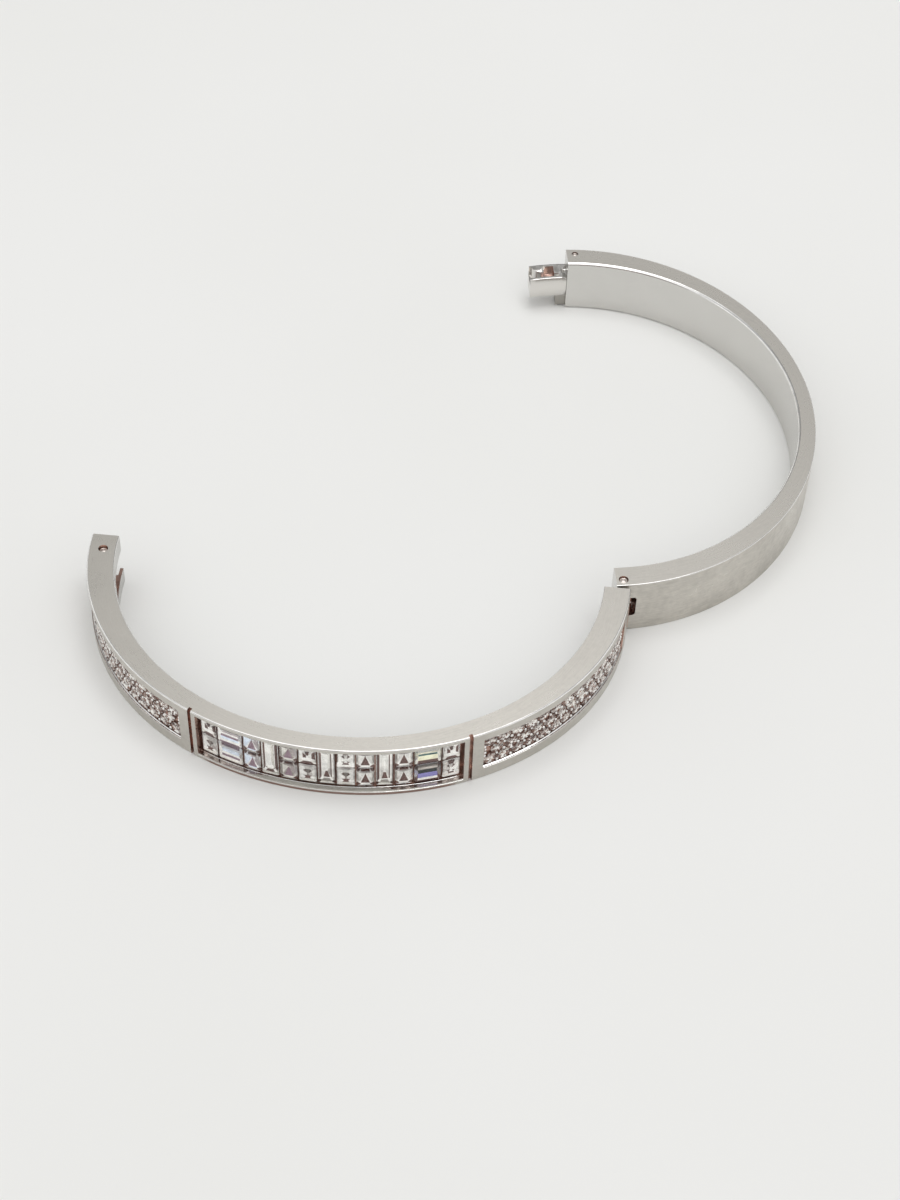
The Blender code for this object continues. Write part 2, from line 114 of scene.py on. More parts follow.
# Room: brightness at each height, from the horizon (0) to straight up (1), then the colours
# of the dim side behind, the bright front, the bright sides and the dark gap low in front
ROOM_LEVELS = ((0.0, 0.5), (0.57, 0.48), (0.65, 0.27), (0.72, 0.66),
               (0.8, 0.66), (0.93, 1.1), (1.0, 1.3))
DIM_BEHIND = (0.30, 0.30, 0.295)
BRIGHT_FRONT = (1.3, 1.3, 1.3)
BRIGHT_SIDES = (1.0, 1.0, 1.0)
DARK_GAP = (0.13, 0.075, 0.06)

# Softbox: place and sides in metres, power in watts
SOFTBOX_PLACE = (0.1, 0.1, 0.95)
SOFTBOX_SIDES = (0.7, 0.5)
SOFTBOX_POWER = 2.0

# Metals. STEEL is the tone of the tops; the shaded steels are darker, some warmer, copies of it,
# painted shade on faces that get less light
STEEL = (0.86, 0.825, 0.76)
SHADED_WARM_STEEL = (0.58, 0.555, 0.51)
SHADED_INNER_STEEL = (0.66, 0.65, 0.625)
BRIGHT_STEEL = (0.93, 0.92, 0.90)
# Painted shade: the dark rose-brown of cuts, recesses and the plate under the round stones
RECESS_SHADE_BROWN = (0.46, 0.30, 0.25)
# Painted shade: dark brown at the bottom of the front wall along the channel
FOOT_SHADE_BROWN = (0.30, 0.19, 0.16)
SHADED_LEDGE_STEEL = (0.66, 0.58, 0.54)
SHADED_TONGUE_STEEL = (0.74, 0.72, 0.69)

# Foils behind the crystals. Silver is the mirror foil; the other colours paint the dark, brown and
# coloured reflections seen in the stones
FOILS = {
    "silver": (0.95, 0.94, 0.91),
    "pale": (0.80, 0.78, 0.73),
    "smoke": (0.125, 0.06, 0.05),
    "grey": (0.36, 0.33, 0.30),
    "sky": (0.76, 0.85, 0.99),
    "mauve": (0.27, 0.18, 0.22),
    "violet": (0.26, 0.24, 0.55),
    "gold": (0.98, 0.96, 0.72),
    "teal": (0.03, 0.12, 0.13),
    "rust": (0.29, 0.16, 0.12),
    "ink": (0.02, 0.03, 0.025),
}


# ---------------------------------------------------------------- geometry of the band

def oval_point(a, b, angle):
    return Vector((a * math.cos(angle), b * math.sin(angle)))


def wall_normal(angle):
    return Vector((math.cos(angle) / OUTER_A, math.sin(angle) / OUTER_B)).normalized()


def angle_at_arc(arc):
    """Parametric angle of the outer wall, arc mm along it from the middle of the front."""
    steps = 400
    angle = -math.pi / 2
    for _ in range(steps):
        speed = math.hypot(OUTER_A * math.sin(angle), OUTER_B * math.cos(angle))
        angle += arc / steps / speed
    return angle


def wall_point(angle, depth):
    return oval_point(OUTER_A, OUTER_B, angle) - depth * wall_normal(angle)


def clasp_point(u, v):
    """Point of the clasp end, from u along the band and v outwards from the inner wall."""
    y = BACK_CLASP_Y - u
    return Vector((-(INNER_A * math.sqrt(1 - (y / INNER_B) ** 2) + v), y))


def front_place(point):
    """From closed coordinates to the frame, for the front half."""
    return Vector(point) - OPEN_CENTRE


def back_place(point):
    """From closed coordinates to the frame, for the open back half."""
    turn = Matrix.Rotation(-math.radians(OPEN_ANGLE), 2)
    return HINGE + turn @ (Vector(point) - HINGE) - OPEN_CENTRE


def closed_place(point, turn):
    """From the frame to closed coordinates, in mm, for a part that is open by turn degrees."""
    hinge = Vector((*(HINGE - OPEN_CENTRE), 0))
    return Matrix.Rotation(math.radians(turn), 3, "Z") @ (point - hinge) + Vector((*HINGE, 0))


def wall_matrix(arc, height):
    """Frame matrix of a spot on the front's outer wall: x along it, y inwards, z up, in mm."""
    angle = angle_at_arc(arc)
    normal = wall_normal(angle)
    place = front_place(oval_point(OUTER_A, OUTER_B, angle))
    turn = math.atan2(normal.y, normal.x) + math.pi / 2
    return Matrix.Translation((place.x, place.y, height)) @ Matrix.Rotation(turn, 4, "Z")


# ---------------------------------------------------------------- materials

def new_material(name):
    material = bpy.data.materials.new(name)
    material.use_nodes = True
    return material, material.node_tree, material.node_tree.nodes["Principled BSDF"]


def node(tree, kind, inputs=None, **settings):
    """Add a node; its inputs are values or the sockets that feed them."""
    made = tree.nodes.new(kind)
    for key, value in settings.items():
        setattr(made, key, value)
    for key, value in (inputs or {}).items():
        if isinstance(value, bpy.types.NodeSocket):
            tree.links.new(value, made.inputs[key])
        else:
            made.inputs[key].default_value = value
    return made


def feed(tree, shader, **inputs):
    for key, value in inputs.items():
        socket = shader.inputs[key.replace("_", " ")]
        if isinstance(value, bpy.types.NodeSocket):
            tree.links.new(value, socket)
        else:
            socket.default_value = value


def calc(tree, operation, first, second=0.0):
    return node(tree, "ShaderNodeMath", {0: first, 1: second}, operation=operation).outputs[0]


def scale_range(tree, value, from_low, from_high, to_low, to_high):
    inputs = {"Value": value, "From Min": from_low, "From Max": from_high,
              "To Min": to_low, "To Max": to_high}
    return node(tree, "ShaderNodeMapRange", inputs, clamp=True).outputs["Result"]


def noise(tree, vector, scale, detail=3.0, roughness=0.55):
    inputs = {"Vector": vector, "Scale": scale, "Detail": detail, "Roughness": roughness}
    return node(tree, "ShaderNodeTexNoise", inputs).outputs["Fac"]


def tint(tree, factor, first, second):
    """Mix two colours; each is a value or the socket that feeds it."""
    made = node(tree, "ShaderNodeMix", data_type="RGBA")
    sockets = {socket.name: socket for socket in made.inputs if socket.enabled}
    for key, value in (("Factor", factor), ("A", first), ("B", second)):
        if isinstance(value, bpy.types.NodeSocket):
            tree.links.new(value, sockets[key])
        else:
            sockets[key].default_value = (*value, 1)
    return [socket for socket in made.outputs if socket.enabled][0]


def shade(colour, share):
    return tuple(channel * share for channel in colour)


def oval_coordinates(tree, centre, along, across, upright):
    """Stretched angle, radius and height round the band, then plain position, height and angle."""
    position = node(tree, "ShaderNodeTexCoord").outputs["Object"]
    moved = node(tree, "ShaderNodeMapping", {"Vector": position})
    moved.inputs["Location"].default_value = (-centre[0] * MM, -centre[1] * MM, 0)
    parts = node(tree, "ShaderNodeSeparateXYZ", {0: moved.outputs[0]})
    x, y, z = parts.outputs
    angle = calc(tree, "ARCTAN2", y, x)
    squares = calc(tree, "POWER", x, 2.0), calc(tree, "POWER", y, 2.0)
    radius = calc(tree, "SQRT", calc(tree, "ADD", *squares))
    inputs = {0: calc(tree, "MULTIPLY", angle, along), 1: calc(tree, "MULTIPLY", radius, across),
              2: calc(tree, "MULTIPLY", z, upright)}
    return node(tree, "ShaderNodeCombineXYZ", inputs).outputs[0], position, z, angle


def satin_material(name, centre, colour, roughness, contrast=1.0):
    """Satin steel: fine brush strokes along the band over a soft cloudy grain."""
    material, tree, shader = new_material(name)
    strokes, position, _, _ = oval_coordinates(tree, centre, 16.0, 6500.0, 6500.0)
    fine = noise(tree, strokes, 1.0, 4.0, 0.6)
    grain = noise(tree, position, 1500.0, 3.0, 0.6)
    cloud = noise(tree, position, 210.0, 4.0, 0.6)
    shares = calc(tree, "MULTIPLY", fine, 0.35), calc(tree, "MULTIPLY", grain, 0.25)
    streaked = calc(tree, "ADD", *shares)
    mottled = calc(tree, "ADD", streaked, calc(tree, "MULTIPLY", cloud, 0.4))
    mask = scale_range(tree, mottled, 0.38, 0.62, 0.0, 1.0)
    dark, light = shade(colour, 1 - 0.09 * contrast), shade(colour, 1 + 0.07 * contrast)
    colours = tint(tree, mask, dark, light)
    spread = 0.05 * contrast
    rough = scale_range(tree, mottled, 0.38, 0.62, roughness + spread, roughness - spread)
    relief = {"Height": fine, "Strength": 0.2 * contrast, "Distance": 0.00001}
    bump = node(tree, "ShaderNodeBump", relief)
    feed(tree, shader, Base_Color=colours, Metallic=1.0, Roughness=rough, Normal=bump.outputs[0])
    return material


def polished_material(name, colour, roughness=0.12, scratch=0.12):
    """Polished steel with faint hairlines and a slightly uneven surface."""
    material, tree, shader = new_material(name)
    position = node(tree, "ShaderNodeTexCoord").outputs["Object"]
    hair = noise(tree, position, 2600.0, 4.0, 0.65)
    wave = noise(tree, position, 500.0, 2.0, 0.5)
    waviness = scale_range(tree, wave, 0.35, 0.65, 0.0, 1.0)
    colours = tint(tree, waviness, shade(colour, 0.9), shade(colour, 1.06))
    rough = scale_range(tree, hair, 0.35, 0.7, roughness * 0.7, roughness * 1.6)
    bump = node(tree, "ShaderNodeBump", {"Height": wave, "Strength": scratch, "Distance": 0.00008})
    feed(tree, shader, Base_Color=colours, Metallic=1.0, Roughness=rough, Normal=bump.outputs[0])
    return material


def recess_material(name, colour, roughness=0.3):
    """Dark rose-brown painted shade inside the cuts, darker in patches."""
    material, tree, shader = new_material(name)
    position = node(tree, "ShaderNodeTexCoord").outputs["Object"]
    stain = noise(tree, position, 900.0, 4.0, 0.6)
    stained = scale_range(tree, stain, 0.35, 0.65, 0.0, 1.0)
    colours = tint(tree, stained, shade(colour, 0.6), shade(colour, 1.3))
    rough = scale_range(tree, stain, 0.3, 0.7, roughness + 0.1, roughness - 0.1)
    bump = node(tree, "ShaderNodeBump", {"Height": stain, "Strength": 0.3, "Distance": 0.00003})
    feed(tree, shader, Base_Color=colours, Metallic=1.0, Roughness=rough, Normal=bump.outputs[0])
    return material


def front_wall_material(name, centre, colour, roughness):
    """Satin wall; along the stone channel its lips are polished, and the wall's bottom below the
    low one darkens to a brown painted shade.
    """
    material = satin_material(name, centre, colour, roughness)
    tree = material.node_tree
    shader = tree.nodes["Principled BSDF"]
    _, _, height, angle = oval_coordinates(tree, centre, 1.0, 1.0, 1.0)
    reach = math.pi / 2 + angle_at_arc(LIP_ARC)
    off_middle = calc(tree, "ABSOLUTE", calc(tree, "ADD", angle, math.pi / 2))
    in_reach = scale_range(tree, off_middle, reach * 1.02, reach * 0.94, 0.0, 1.0)
    mid_height = calc(tree, "ABSOLUTE", calc(tree, "SUBTRACT", height, BAND_HEIGHT / 2 * MM))
    on_lip = calc(tree, "GREATER_THAN", mid_height, LIP_FROM_MIDDLE * MM)
    lip = calc(tree, "MULTIPLY", in_reach, on_lip)
    # Painted shade: along the channel the wall darkens to brown at its very bottom
    fade_from, fade_to = shade(FOOT_SHADE_FADE, MM)
    foot_shade = calc(tree, "MULTIPLY", in_reach, scale_range(tree, height, fade_from, fade_to, 0.0, 1.0))
    satin = shader.inputs["Base Color"].links[0].from_socket
    foot_shaded = tint(tree, foot_shade, satin, FOOT_SHADE_BROWN)
    rough_link = shader.inputs["Roughness"].links[0].from_socket
    smoother = calc(tree, "MULTIPLY", rough_link, scale_range(tree, lip, 0.0, 1.0, 1.0, 0.3))
    feed(tree, shader, Base_Color=foot_shaded, Roughness=smoother)
    return material


def glass_material(name):
    """Clear crystal with slightly uneven faces."""
    material, tree, shader = new_material(name)
    position = node(tree, "ShaderNodeTexCoord").outputs["Object"]
    wave = noise(tree, position, 700.0, 1.0, 0.4)
    bump = node(tree, "ShaderNodeBump", {"Height": wave, "Strength": 0.04, "Distance": 0.00005})
    rough = scale_range(tree, wave, 0.3, 0.7, 0.0, 0.02)
    feed(tree, shader, Base_Color=(0.985, 0.99, 0.985, 1), Roughness=rough, IOR=1.56,
         Transmission_Weight=1.0, Normal=bump.outputs[0])
    return material


def foil_material(name, colour):
    """Mirror foil on the back facets of a crystal, with a faint painted glow in its colour."""
    material, tree, shader = new_material(name)
    position = node(tree, "ShaderNodeTexCoord").outputs["Object"]
    patch = noise(tree, position, 1100.0, 2.0, 0.5)
    patchy = scale_range(tree, patch, 0.4, 0.6, 0.0, 1.0)
    colours = tint(tree, patchy, shade(colour, 0.82), shade(colour, 1.05))
    # Painted light: the foil glows faintly in its own colour
    feed(tree, shader, Base_Color=colours, Metallic=0.8, Roughness=0.1,
         Emission_Color=(*colour, 1), Emission_Strength=0.16)
    return material


# ---------------------------------------------------------------- pieces

def link_piece(name, bm, materials, body):
    """Make a piece from a bmesh drawn in millimetres in the frame."""
    bmesh.ops.scale(bm, vec=Vector((MM, MM, MM)), verts=bm.verts)
    mesh = bpy.data.meshes.new(name)
    bm.to_mesh(mesh)
    bm.free()
    for material in materials:
        mesh.materials.append(material)
    obj = bpy.data.objects.new(name, mesh)
    bpy.context.scene.collection.objects.link(obj)
    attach(obj, body)
    return obj


def near_wall(point, a, b, tolerance):
    return abs((point.x / a) ** 2 + (point.y / b) ** 2 - 1) < tolerance


def band_face_kind(points, normal, has_lug):
    """Which surface of a band a face is on, from its corners in closed coordinates."""
    if has_lug and all(p.x < 0 and p.y < BACK_CLASP_Y + 0.02 for p in points):
        return "lug" if min(p.y for p in points) < BACK_CLASP_Y - 0.1 else "end"
    if all(p.z > BAND_HEIGHT - FLAT_SLACK for p in points) or all(p.z < FLAT_SLACK for p in points):
        return "flat"
    if all(near_wall(p, OUTER_A, OUTER_B, WALL_SLACK) for p in points):
        return "outer"
    if all(near_wall(p, INNER_A, INNER_B, WALL_SLACK) for p in points):
        return "inner"
    if 0.4 < abs(normal.z) < 0.95:
        return "edge"
    if abs(normal.z) >= 0.95:
        level = sum(p.z for p in points) / len(points)
        return "ledge" if normal.z > 0 and level < LEDGE_TOP else "recess"
    thick = max(p.x for p in points) - min(p.x for p in points)
    if abs(normal.y) > 0.95 and all(abs(p.y) < 1.0 for p in points) and thick > 0.2:
        return "end"
    return "recess"


def smooth_normal(kind, point, normal, axes):
    """Normal of a face at one of its corners, in closed coordinates.

    Flat and curved surfaces get their exact normal, and a chamfer is shaded as if it were rounded.
    """
    if kind == "flat":
        return Vector((0, 0, 1 if point.z > BAND_HEIGHT / 2 else -1))
    if kind in ("outer", "inner", "edge"):
        at_outer = kind == "edge" and near_wall(point, OUTER_A, OUTER_B, CHAMFER_SLACK)
        outer = kind == "outer" or at_outer
        a, b = (OUTER_A, OUTER_B) if outer else (INNER_A, INNER_B)
        wall = Vector((point.x / a ** 2, point.y / b ** 2, 0)).normalized() * (1 if outer else -1)
        if kind != "edge":
            return wall
        flat = Vector((normal.x, normal.y, 0))
        if flat.length > 0.1 and wall.dot(flat.normalized()) > 0.9:
            upwards = 1 if point.z > BAND_HEIGHT / 2 else -1
            on_flat = abs(point.z - BAND_HEIGHT / 2) > BAND_HEIGHT / 2 - FLAT_SLACK
            lean = math.radians(EDGE_ROUNDING[0] if on_flat else EDGE_ROUNDING[1])
            return wall * math.cos(lean) + Vector((0, 0, upwards * math.sin(lean)))
        return normal
    if abs(normal.z) < 0.1:
        for axis, radii in axes:
            out = Vector((point.x - axis[0], point.y - axis[1], 0))
            if any(abs(out.length - radius) < 0.02 for radius in radii):
                out.normalize()
                if abs(out.dot(normal)) > 0.9:
                    return out * math.copysign(1.0, out.dot(normal))
    return normal


def dress_band(name, turn, materials, axes):
    """Give a CAD band its materials by surface, and the normals of its real, smooth surfaces.

    turn is how far the band is open, in degrees; axes are the middles and radii of its bores.
    """
    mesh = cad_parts[name].data
    kinds = list(materials)
    mesh.materials.clear()
    for kind in kinds:
        mesh.materials.append(materials[kind])
    back = Matrix.Rotation(math.radians(turn), 3, "Z")
    normals = [Vector((0, 0, 1))] * len(mesh.loops)
    for face in mesh.polygons:
        face.use_smooth = True
        points = [closed_place(mesh.vertices[index].co / MM, turn) for index in face.vertices]
        normal = back @ face.normal
        kind = band_face_kind(points, normal, turn > 0)
        face.material_index = kinds.index(kind)
        for loop, point in zip(face.loop_indices, points):
            normals[loop] = back.transposed() @ smooth_normal(kind, point, normal, axes)
    mesh.normals_split_custom_set(normals)


def dress_part(name, materials, bevel):
    """Weld a CAD piece, chamfer its edges in the last material and shade it smooth by angle."""
    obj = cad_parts[name]
    mesh = obj.data
    mesh.materials.clear()
    for material in materials:
        mesh.materials.append(material)
    if mesh.attributes.get("custom_normal"):
        mesh.attributes.remove(mesh.attributes["custom_normal"])
    for edge in mesh.edges:
        edge.use_edge_sharp = False
    mesh.shade_smooth()
    weld = obj.modifiers.new("weld", "WELD")
    weld.merge_threshold = 0.000001
    if bevel:
        round_off = obj.modifiers.new("edges", "BEVEL")
        round_off.width = bevel * MM
        round_off.segments = 1
        round_off.material = len(materials) - 1
        round_off.angle_limit = math.radians(40)
        round_off.harden_normals = False
    split = obj.modifiers.new("smooth", "EDGE_SPLIT")
    split.split_angle = math.radians(50)
    return obj


def dress_tongue(materials):
    """Tongue: satin, with bright edges and a seat for the catch pin in brown painted shade and,
    where it faces the front, a painted highlight.
    """
    mesh = dress_part("clasp_tongue", materials, TONGUE_BEVEL).data
    seat = clasp_point(*CATCH_PIN)
    for face in mesh.polygons:
        points = [mesh.vertices[index].co / MM for index in face.vertices]
        low = min(point.z for point in points)
        high = max(point.z for point in points)
        middle = closed_place(sum(points, Vector()) / len(points), OPEN_ANGLE)
        # The seat's faces are painted: a bright highlight on those that face the front, brown shade
        # on the rest
        milled = SEAT_LOW < low and (high < TONGUE_TOP - 0.1 or abs(face.normal.z) < 0.1)
        near_seat = abs(middle.y - seat.y) < SEAT_REACH
        facing_front = face.normal.y < -0.5
        face.material_index = (2 if facing_front else 1) if milled and near_seat else 0


def turned_pin(name, node_name, centre, radius, low, top, material, body):
    """Pin with a rounded end, a fine turned ring and a centre mark."""
    bm = bmesh.new()
    profile = [(0, low), (radius - 0.08, low), (radius, low + 0.08), (radius, top - 0.12)]
    for share in (0.35, 0.7, 1.0):
        profile.append((radius * (1 - 0.12 * share ** 2), top - 0.12 + 0.1 * share))
    profile += [(radius * 0.62, top), (radius * 0.55, top - 0.015), (radius * 0.5, top)]
    profile += [(radius * 0.16, top + 0.005), (0, top - 0.05)]
    verts = [bm.verts.new((centre.x + r, centre.y, z)) for r, z in profile]
    edges = [bm.edges.new(pair) for pair in zip(verts, verts[1:])]
    middle = (centre.x, centre.y, 0)
    bmesh.ops.spin(bm, geom=verts + edges, cent=middle, axis=(0, 0, 1), angle=math.tau, steps=40)
    bmesh.ops.remove_doubles(bm, verts=bm.verts, dist=0.0005)
    bmesh.ops.recalc_face_normals(bm, faces=bm.faces)
    obj = link_piece(name, bm, [material], body)
    obj.data.shade_smooth()
    obj.data.set_sharp_from_angle(angle=math.radians(35))
    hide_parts(node_name)


def ring(bm, half_x, half_z, depth, cut, shift_z=0.0):
    """Rectangle with cut corners, from the left end of its bottom edge."""
    cut *= min(half_x, half_z)
    corners = ((cut - half_x, -half_z), (half_x - cut, -half_z),
               (half_x, cut - half_z), (half_x, half_z - cut),
               (half_x - cut, half_z), (cut - half_x, half_z),
               (-half_x, half_z - cut), (-half_x, cut - half_z))
    return [bm.verts.new((x, depth, shift_z + z)) for x, z in corners]


# Crown rings: depth, width and height lost to each side, cut of the corners
CROWN = ((0.55, 0.19, 0.18, 0.16), (0.6, 0.09, 0.08, 0.12),
         (0.7, 0.0, 0.0, 0.1), (0.79, 0.0, 0.0, 0.1))

# Pavilion rings: depth, share of the half width and of the half height, upward shift, cut of
# the corners
PAVILIONS = {
    "pyramid": ((0.83, 0.84, 0.84, 0.0, 0.45),
                (0.86, 0.7, 0.66, -0.06, 0.25),
                (0.98, 0.03, 0.03, 0.3, 0.0)),
    "broken": ((0.83, 0.8, 0.74, 0.06, 0.5),
               (0.87, 0.5, 0.46, -0.04, 0.5),
               (0.93, 0.12, 0.14, -0.2, 0.0)),
    "stripes": ((0.82, 0.92, 0.84, 0.0, 0.2),
                (0.85, 0.85, 0.6, 0.0, 0.2),
                (0.88, 0.78, 0.34, 0.0, 0.1),
                (0.91, 0.7, 0.1, 0.0, 0.0)),
    "bars": ((0.82, 0.8, 0.88, 0.02, 0.3),
             (0.845, 0.58, 0.76, 0.06, 0.4),
             (0.86, 0.46, 0.72, 0.08, 0.2),
             (0.93, 0.12, 0.48, 0.2, 0.0)),
}

# Foils of each ring's bottom, right, top, left and corner facets, then of the culet
LOOKS = {
    "arrow": ("pyramid", (("silver", "silver", "silver", "silver", "smoke"),
                          ("silver", "pale", "smoke", "pale", "silver"),
                          ("smoke", "silver", "silver", "silver", "silver")), "smoke"),
    "dim": ("pyramid", (("pale", "silver", "silver", "pale", "smoke"),
                        ("pale", "silver", "smoke", "grey", "silver"),
                        ("mauve", "pale", "pale", "pale", "grey")), "mauve"),
    "over": ("broken", (("pale", "silver", "smoke", "silver", "silver"),
                        ("smoke", "silver", "silver", "silver", "silver"),
                        ("smoke", "silver", "grey", "silver", "smoke")), "grey"),
    "under": ("broken", (("smoke", "silver", "silver", "silver", "pale"),
                         ("silver", "smoke", "silver", "silver", "silver"),
                         ("silver", "silver", "smoke", "smoke", "silver")), "silver"),
    "spark": ("broken", (("silver", "pale", "silver", "smoke", "silver"),
                         ("smoke", "silver", "smoke", "silver", "silver"),
                         ("silver", "silver", "silver", "silver", "smoke")), "silver"),
    "ice_high": ("stripes", (("mauve", "silver", "silver", "pale", "silver"),
                             ("silver", "silver", "silver", "silver", "silver"),
                             ("sky", "silver", "grey", "silver", "silver"),
                             ("mauve", "silver", "silver", "silver", "silver")), "silver"),
    "ice_low": ("stripes", (("pale", "smoke", "mauve", "silver", "silver"),
                            ("silver", "silver", "mauve", "silver", "silver"),
                            ("mauve", "pale", "silver", "silver", "silver"),
                            ("silver", "silver", "sky", "silver", "silver")), "sky"),
    "frost": ("pyramid", (("pale", "pale", "silver", "silver", "smoke"),
                          ("sky", "pale", "smoke", "sky", "silver"),
                          ("mauve", "silver", "silver", "sky", "silver")), "mauve"),
    "fire_high": ("stripes", (("smoke", "silver", "silver", "pale", "pale"),
                              ("smoke", "pale", "smoke", "pale", "pale"),
                              ("gold", "silver", "silver", "silver", "pale"),
                              ("gold", "pale", "pale", "pale", "pale")), "teal"),
    "fire_low": ("stripes", (("smoke", "grey", "pale", "pale", "smoke"),
                             ("silver", "grey", "grey", "silver", "smoke"),
                             ("violet", "grey", "pale", "silver", "smoke"),
                             ("violet", "grey", "ink", "pale", "smoke")), "ink"),
    "tall": ("bars", (("pale", "silver", "silver", "silver", "pale"),
                      ("smoke", "smoke", "smoke", "smoke", "silver"),
                      ("pale", "silver", "silver", "silver", "smoke"),
                      ("silver", "pale", "silver", "silver", "silver")), "silver"),
    "tall_dark": ("bars", (("pale", "smoke", "pale", "silver", "smoke"),
                           ("grey", "silver", "mauve", "smoke", "silver"),
                           ("silver", "smoke", "smoke", "silver", "silver"),
                           ("smoke", "silver", "silver", "silver", "pale")), "silver"),
}

# Look of each cell's low and high stone, from -X to +X
CELL_LOOKS = (("over", "under"), ("ice_low", "ice_high"), ("frost", "frost"), ("tall",),
              ("dim", "dim"), ("over", "under"), ("tall_dark",), ("over", "spark"),
              ("arrow", "arrow"), ("tall_dark",), ("arrow", "arrow"), ("fire_low", "fire_high"),
              ("spark", "under"))


def step_cut_stone(name, width, height, arc, middle, look, materials, rng):
    """Step-cut crystal: table, two crown steps, girdle and a foiled, stepped pavilion."""
    pavilion, foils, culet = LOOKS[look]
    bm = bmesh.new()
    rings = [ring(bm, width / 2 - x, height / 2 - z, depth, cut) for depth, x, z, cut in CROWN]
    rings += [ring(bm, width / 2 * x, height / 2 * z, depth, cut, shift * height / 2)
              for depth, x, z, shift, cut in PAVILIONS[pavilion]]
    slots = ["glass"] + list(FOILS)
    bm.faces.new(rings[0])
    for level, (upper, lower) in enumerate(zip(rings, rings[1:])):
        for side in range(8):
            follow = (side + 1) % 8
            face = bm.faces.new((upper[side], upper[follow], lower[follow], lower[side]))
            # The girdle's sides are painted dark: painted shade in the gaps between the stones
            if level == len(CROWN) - 2:
                face.material_index = slots.index("smoke")
            if level >= len(CROWN) - 1:
                ring_foils = foils[level - len(CROWN) + 1]
                face.material_index = slots.index(ring_foils[4 if side % 2 else side // 2])
    last = bm.faces.new(rings[-1])
    last.material_index = slots.index(culet)
    bmesh.ops.remove_doubles(bm, verts=bm.verts, dist=0.0005)
    bmesh.ops.recalc_face_normals(bm, faces=bm.faces)
    tilt = Matrix.Rotation(math.radians(rng.uniform(-1.5, 1.5)), 4, "X")
    tilt = tilt @ Matrix.Rotation(math.radians(rng.uniform(-1.2, 1.2)), 4, "Z")
    pivot = Matrix.Translation((0, 0.9, 0))
    matrix = wall_matrix(arc, middle) @ pivot @ tilt @ pivot.inverted()
    bmesh.ops.transform(bm, matrix=matrix, verts=bm.verts)
    return link_piece(name, bm, materials, "front_half")


def channel_stones(materials):
    """Thirteen cells of step-cut crystals, tall or in pairs, side by side in the channel."""
    rng = random.Random(7)
    total = sum(STONE_PITCH[cell] for cell in STONE_PATTERN)
    arc = -total / 2
    for number, (cell, looks) in enumerate(zip(STONE_PATTERN, CELL_LOOKS), start=1):
        pitch = STONE_PITCH[cell]
        centre = arc + pitch / 2
        arc += pitch
        width = pitch * 0.96 - STONE_GAP
        height = STONE_HIGH - STONE_LOW
        if len(looks) == 1:
            middle = (STONE_LOW + STONE_HIGH) / 2
            label = f"{number:02d}"
            stone = step_cut_stone("stone_" + label, width, height, centre, middle, looks[0],
                                   materials, rng)
            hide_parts("crystal_" + label)
            continue
        half = (height - STONE_GAP) / 2
        middles = (STONE_LOW + half / 2, STONE_HIGH - half / 2)
        for level, look, middle in zip(("low", "high"), looks, middles):
            label = f"{number:02d}_{level}"
            stone = step_cut_stone("stone_" + label, width, half, centre, middle, look,
                                   materials, rng)
            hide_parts("crystal_" + label)


# Corners of a round brilliant: depth, share of the radius, how many, and turn in steps
BRILLIANT_LEVELS = ((0.15, 0.56, 8, 0.0), (0.24, 0.84, 8, 0.5), (0.34, 1.0, 16, 0.0),
                    (0.4, 1.0, 16, 0.0), (0.455, 0.68, 8, 0.5), (0.5, 0.38, 8, 0.0),
                    (0.53, 0.08, 8, 0.5))
GIRDLE_DEPTHS = (0.35, 0.40)

# Chances of each foil on a brilliant's back facets, near its girdle and near its point
BRILLIANT_FOILS = ("silver", "pale", "rust", "smoke")
RIM_CHANCES = (4, 2, 6, 3)
POINT_CHANCES = (9, 2, 2, 3)


def brilliant(bm, matrix, radius, slots, rng):
    """Round brilliant: hull of its table, crown, girdle and pavilion corners."""
    verts = []
    for depth, share, count, offset in BRILLIANT_LEVELS:
        for index in range(count):
            turn = math.tau * (index + offset) / count
            x = share * radius * math.cos(turn)
            z = share * radius * math.sin(turn)
            verts.append(bm.verts.new(matrix @ Vector((x, depth, z))))
    made = bmesh.ops.convex_hull(bm, input=verts)
    faces = [item for item in made["geom"] if isinstance(item, bmesh.types.BMFace)]
    inverse = matrix.inverted()
    for face in faces:
        centre = inverse @ face.calc_center_median()
        # Back facets take foils that paint reflections, and the girdle is painted brown: painted
        # shade round each stone
        if centre.y > GIRDLE_DEPTHS[1]:
            near_rim = math.hypot(centre.x, centre.z) > 0.62 * radius
            foil = rng.choices(BRILLIANT_FOILS, RIM_CHANCES if near_rim else POINT_CHANCES)[0]
            face.material_index = slots.index(foil)
        elif centre.y > GIRDLE_DEPTHS[0]:
            face.material_index = slots.index("rust")


def pave_places():
    """Arc and height of every round stone."""
    pitch = (PAVE_END_ARC - PAVE_START_ARC) / PAVE_COLUMNS
    middle = (PAVE_LOW + PAVE_HIGH) / 2
    for row in (-1, 0, 1):
        for column in range(PAVE_COLUMNS - (row == 0)):
            arc = PAVE_START_ARC + pitch * (column + (0.5 if row else 1.0))
            yield arc, middle + row * PAVE_ROW_SPACING


def pave_stones(side, name, materials, rng):
    """Three staggered rows of round stones, each tilted and turned a little."""
    bm = bmesh.new()
    slots = ["glass"] + list(FOILS)
    for arc, height in pave_places():
        turn = Matrix.Rotation(rng.uniform(0, math.tau), 4, "Y")
        tilt = Matrix.Rotation(math.radians(rng.uniform(-4, 4)), 4, "X")
        tilt = tilt @ Matrix.Rotation(math.radians(rng.uniform(-4, 4)), 4, "Z")
        matrix = wall_matrix(side * arc, height) @ tilt @ turn
        brilliant(bm, matrix, PAVE_STONE_RADIUS, slots, rng)
    bmesh.ops.recalc_face_normals(bm, faces=bm.faces)
    return link_piece(name, bm, materials, "front_half")


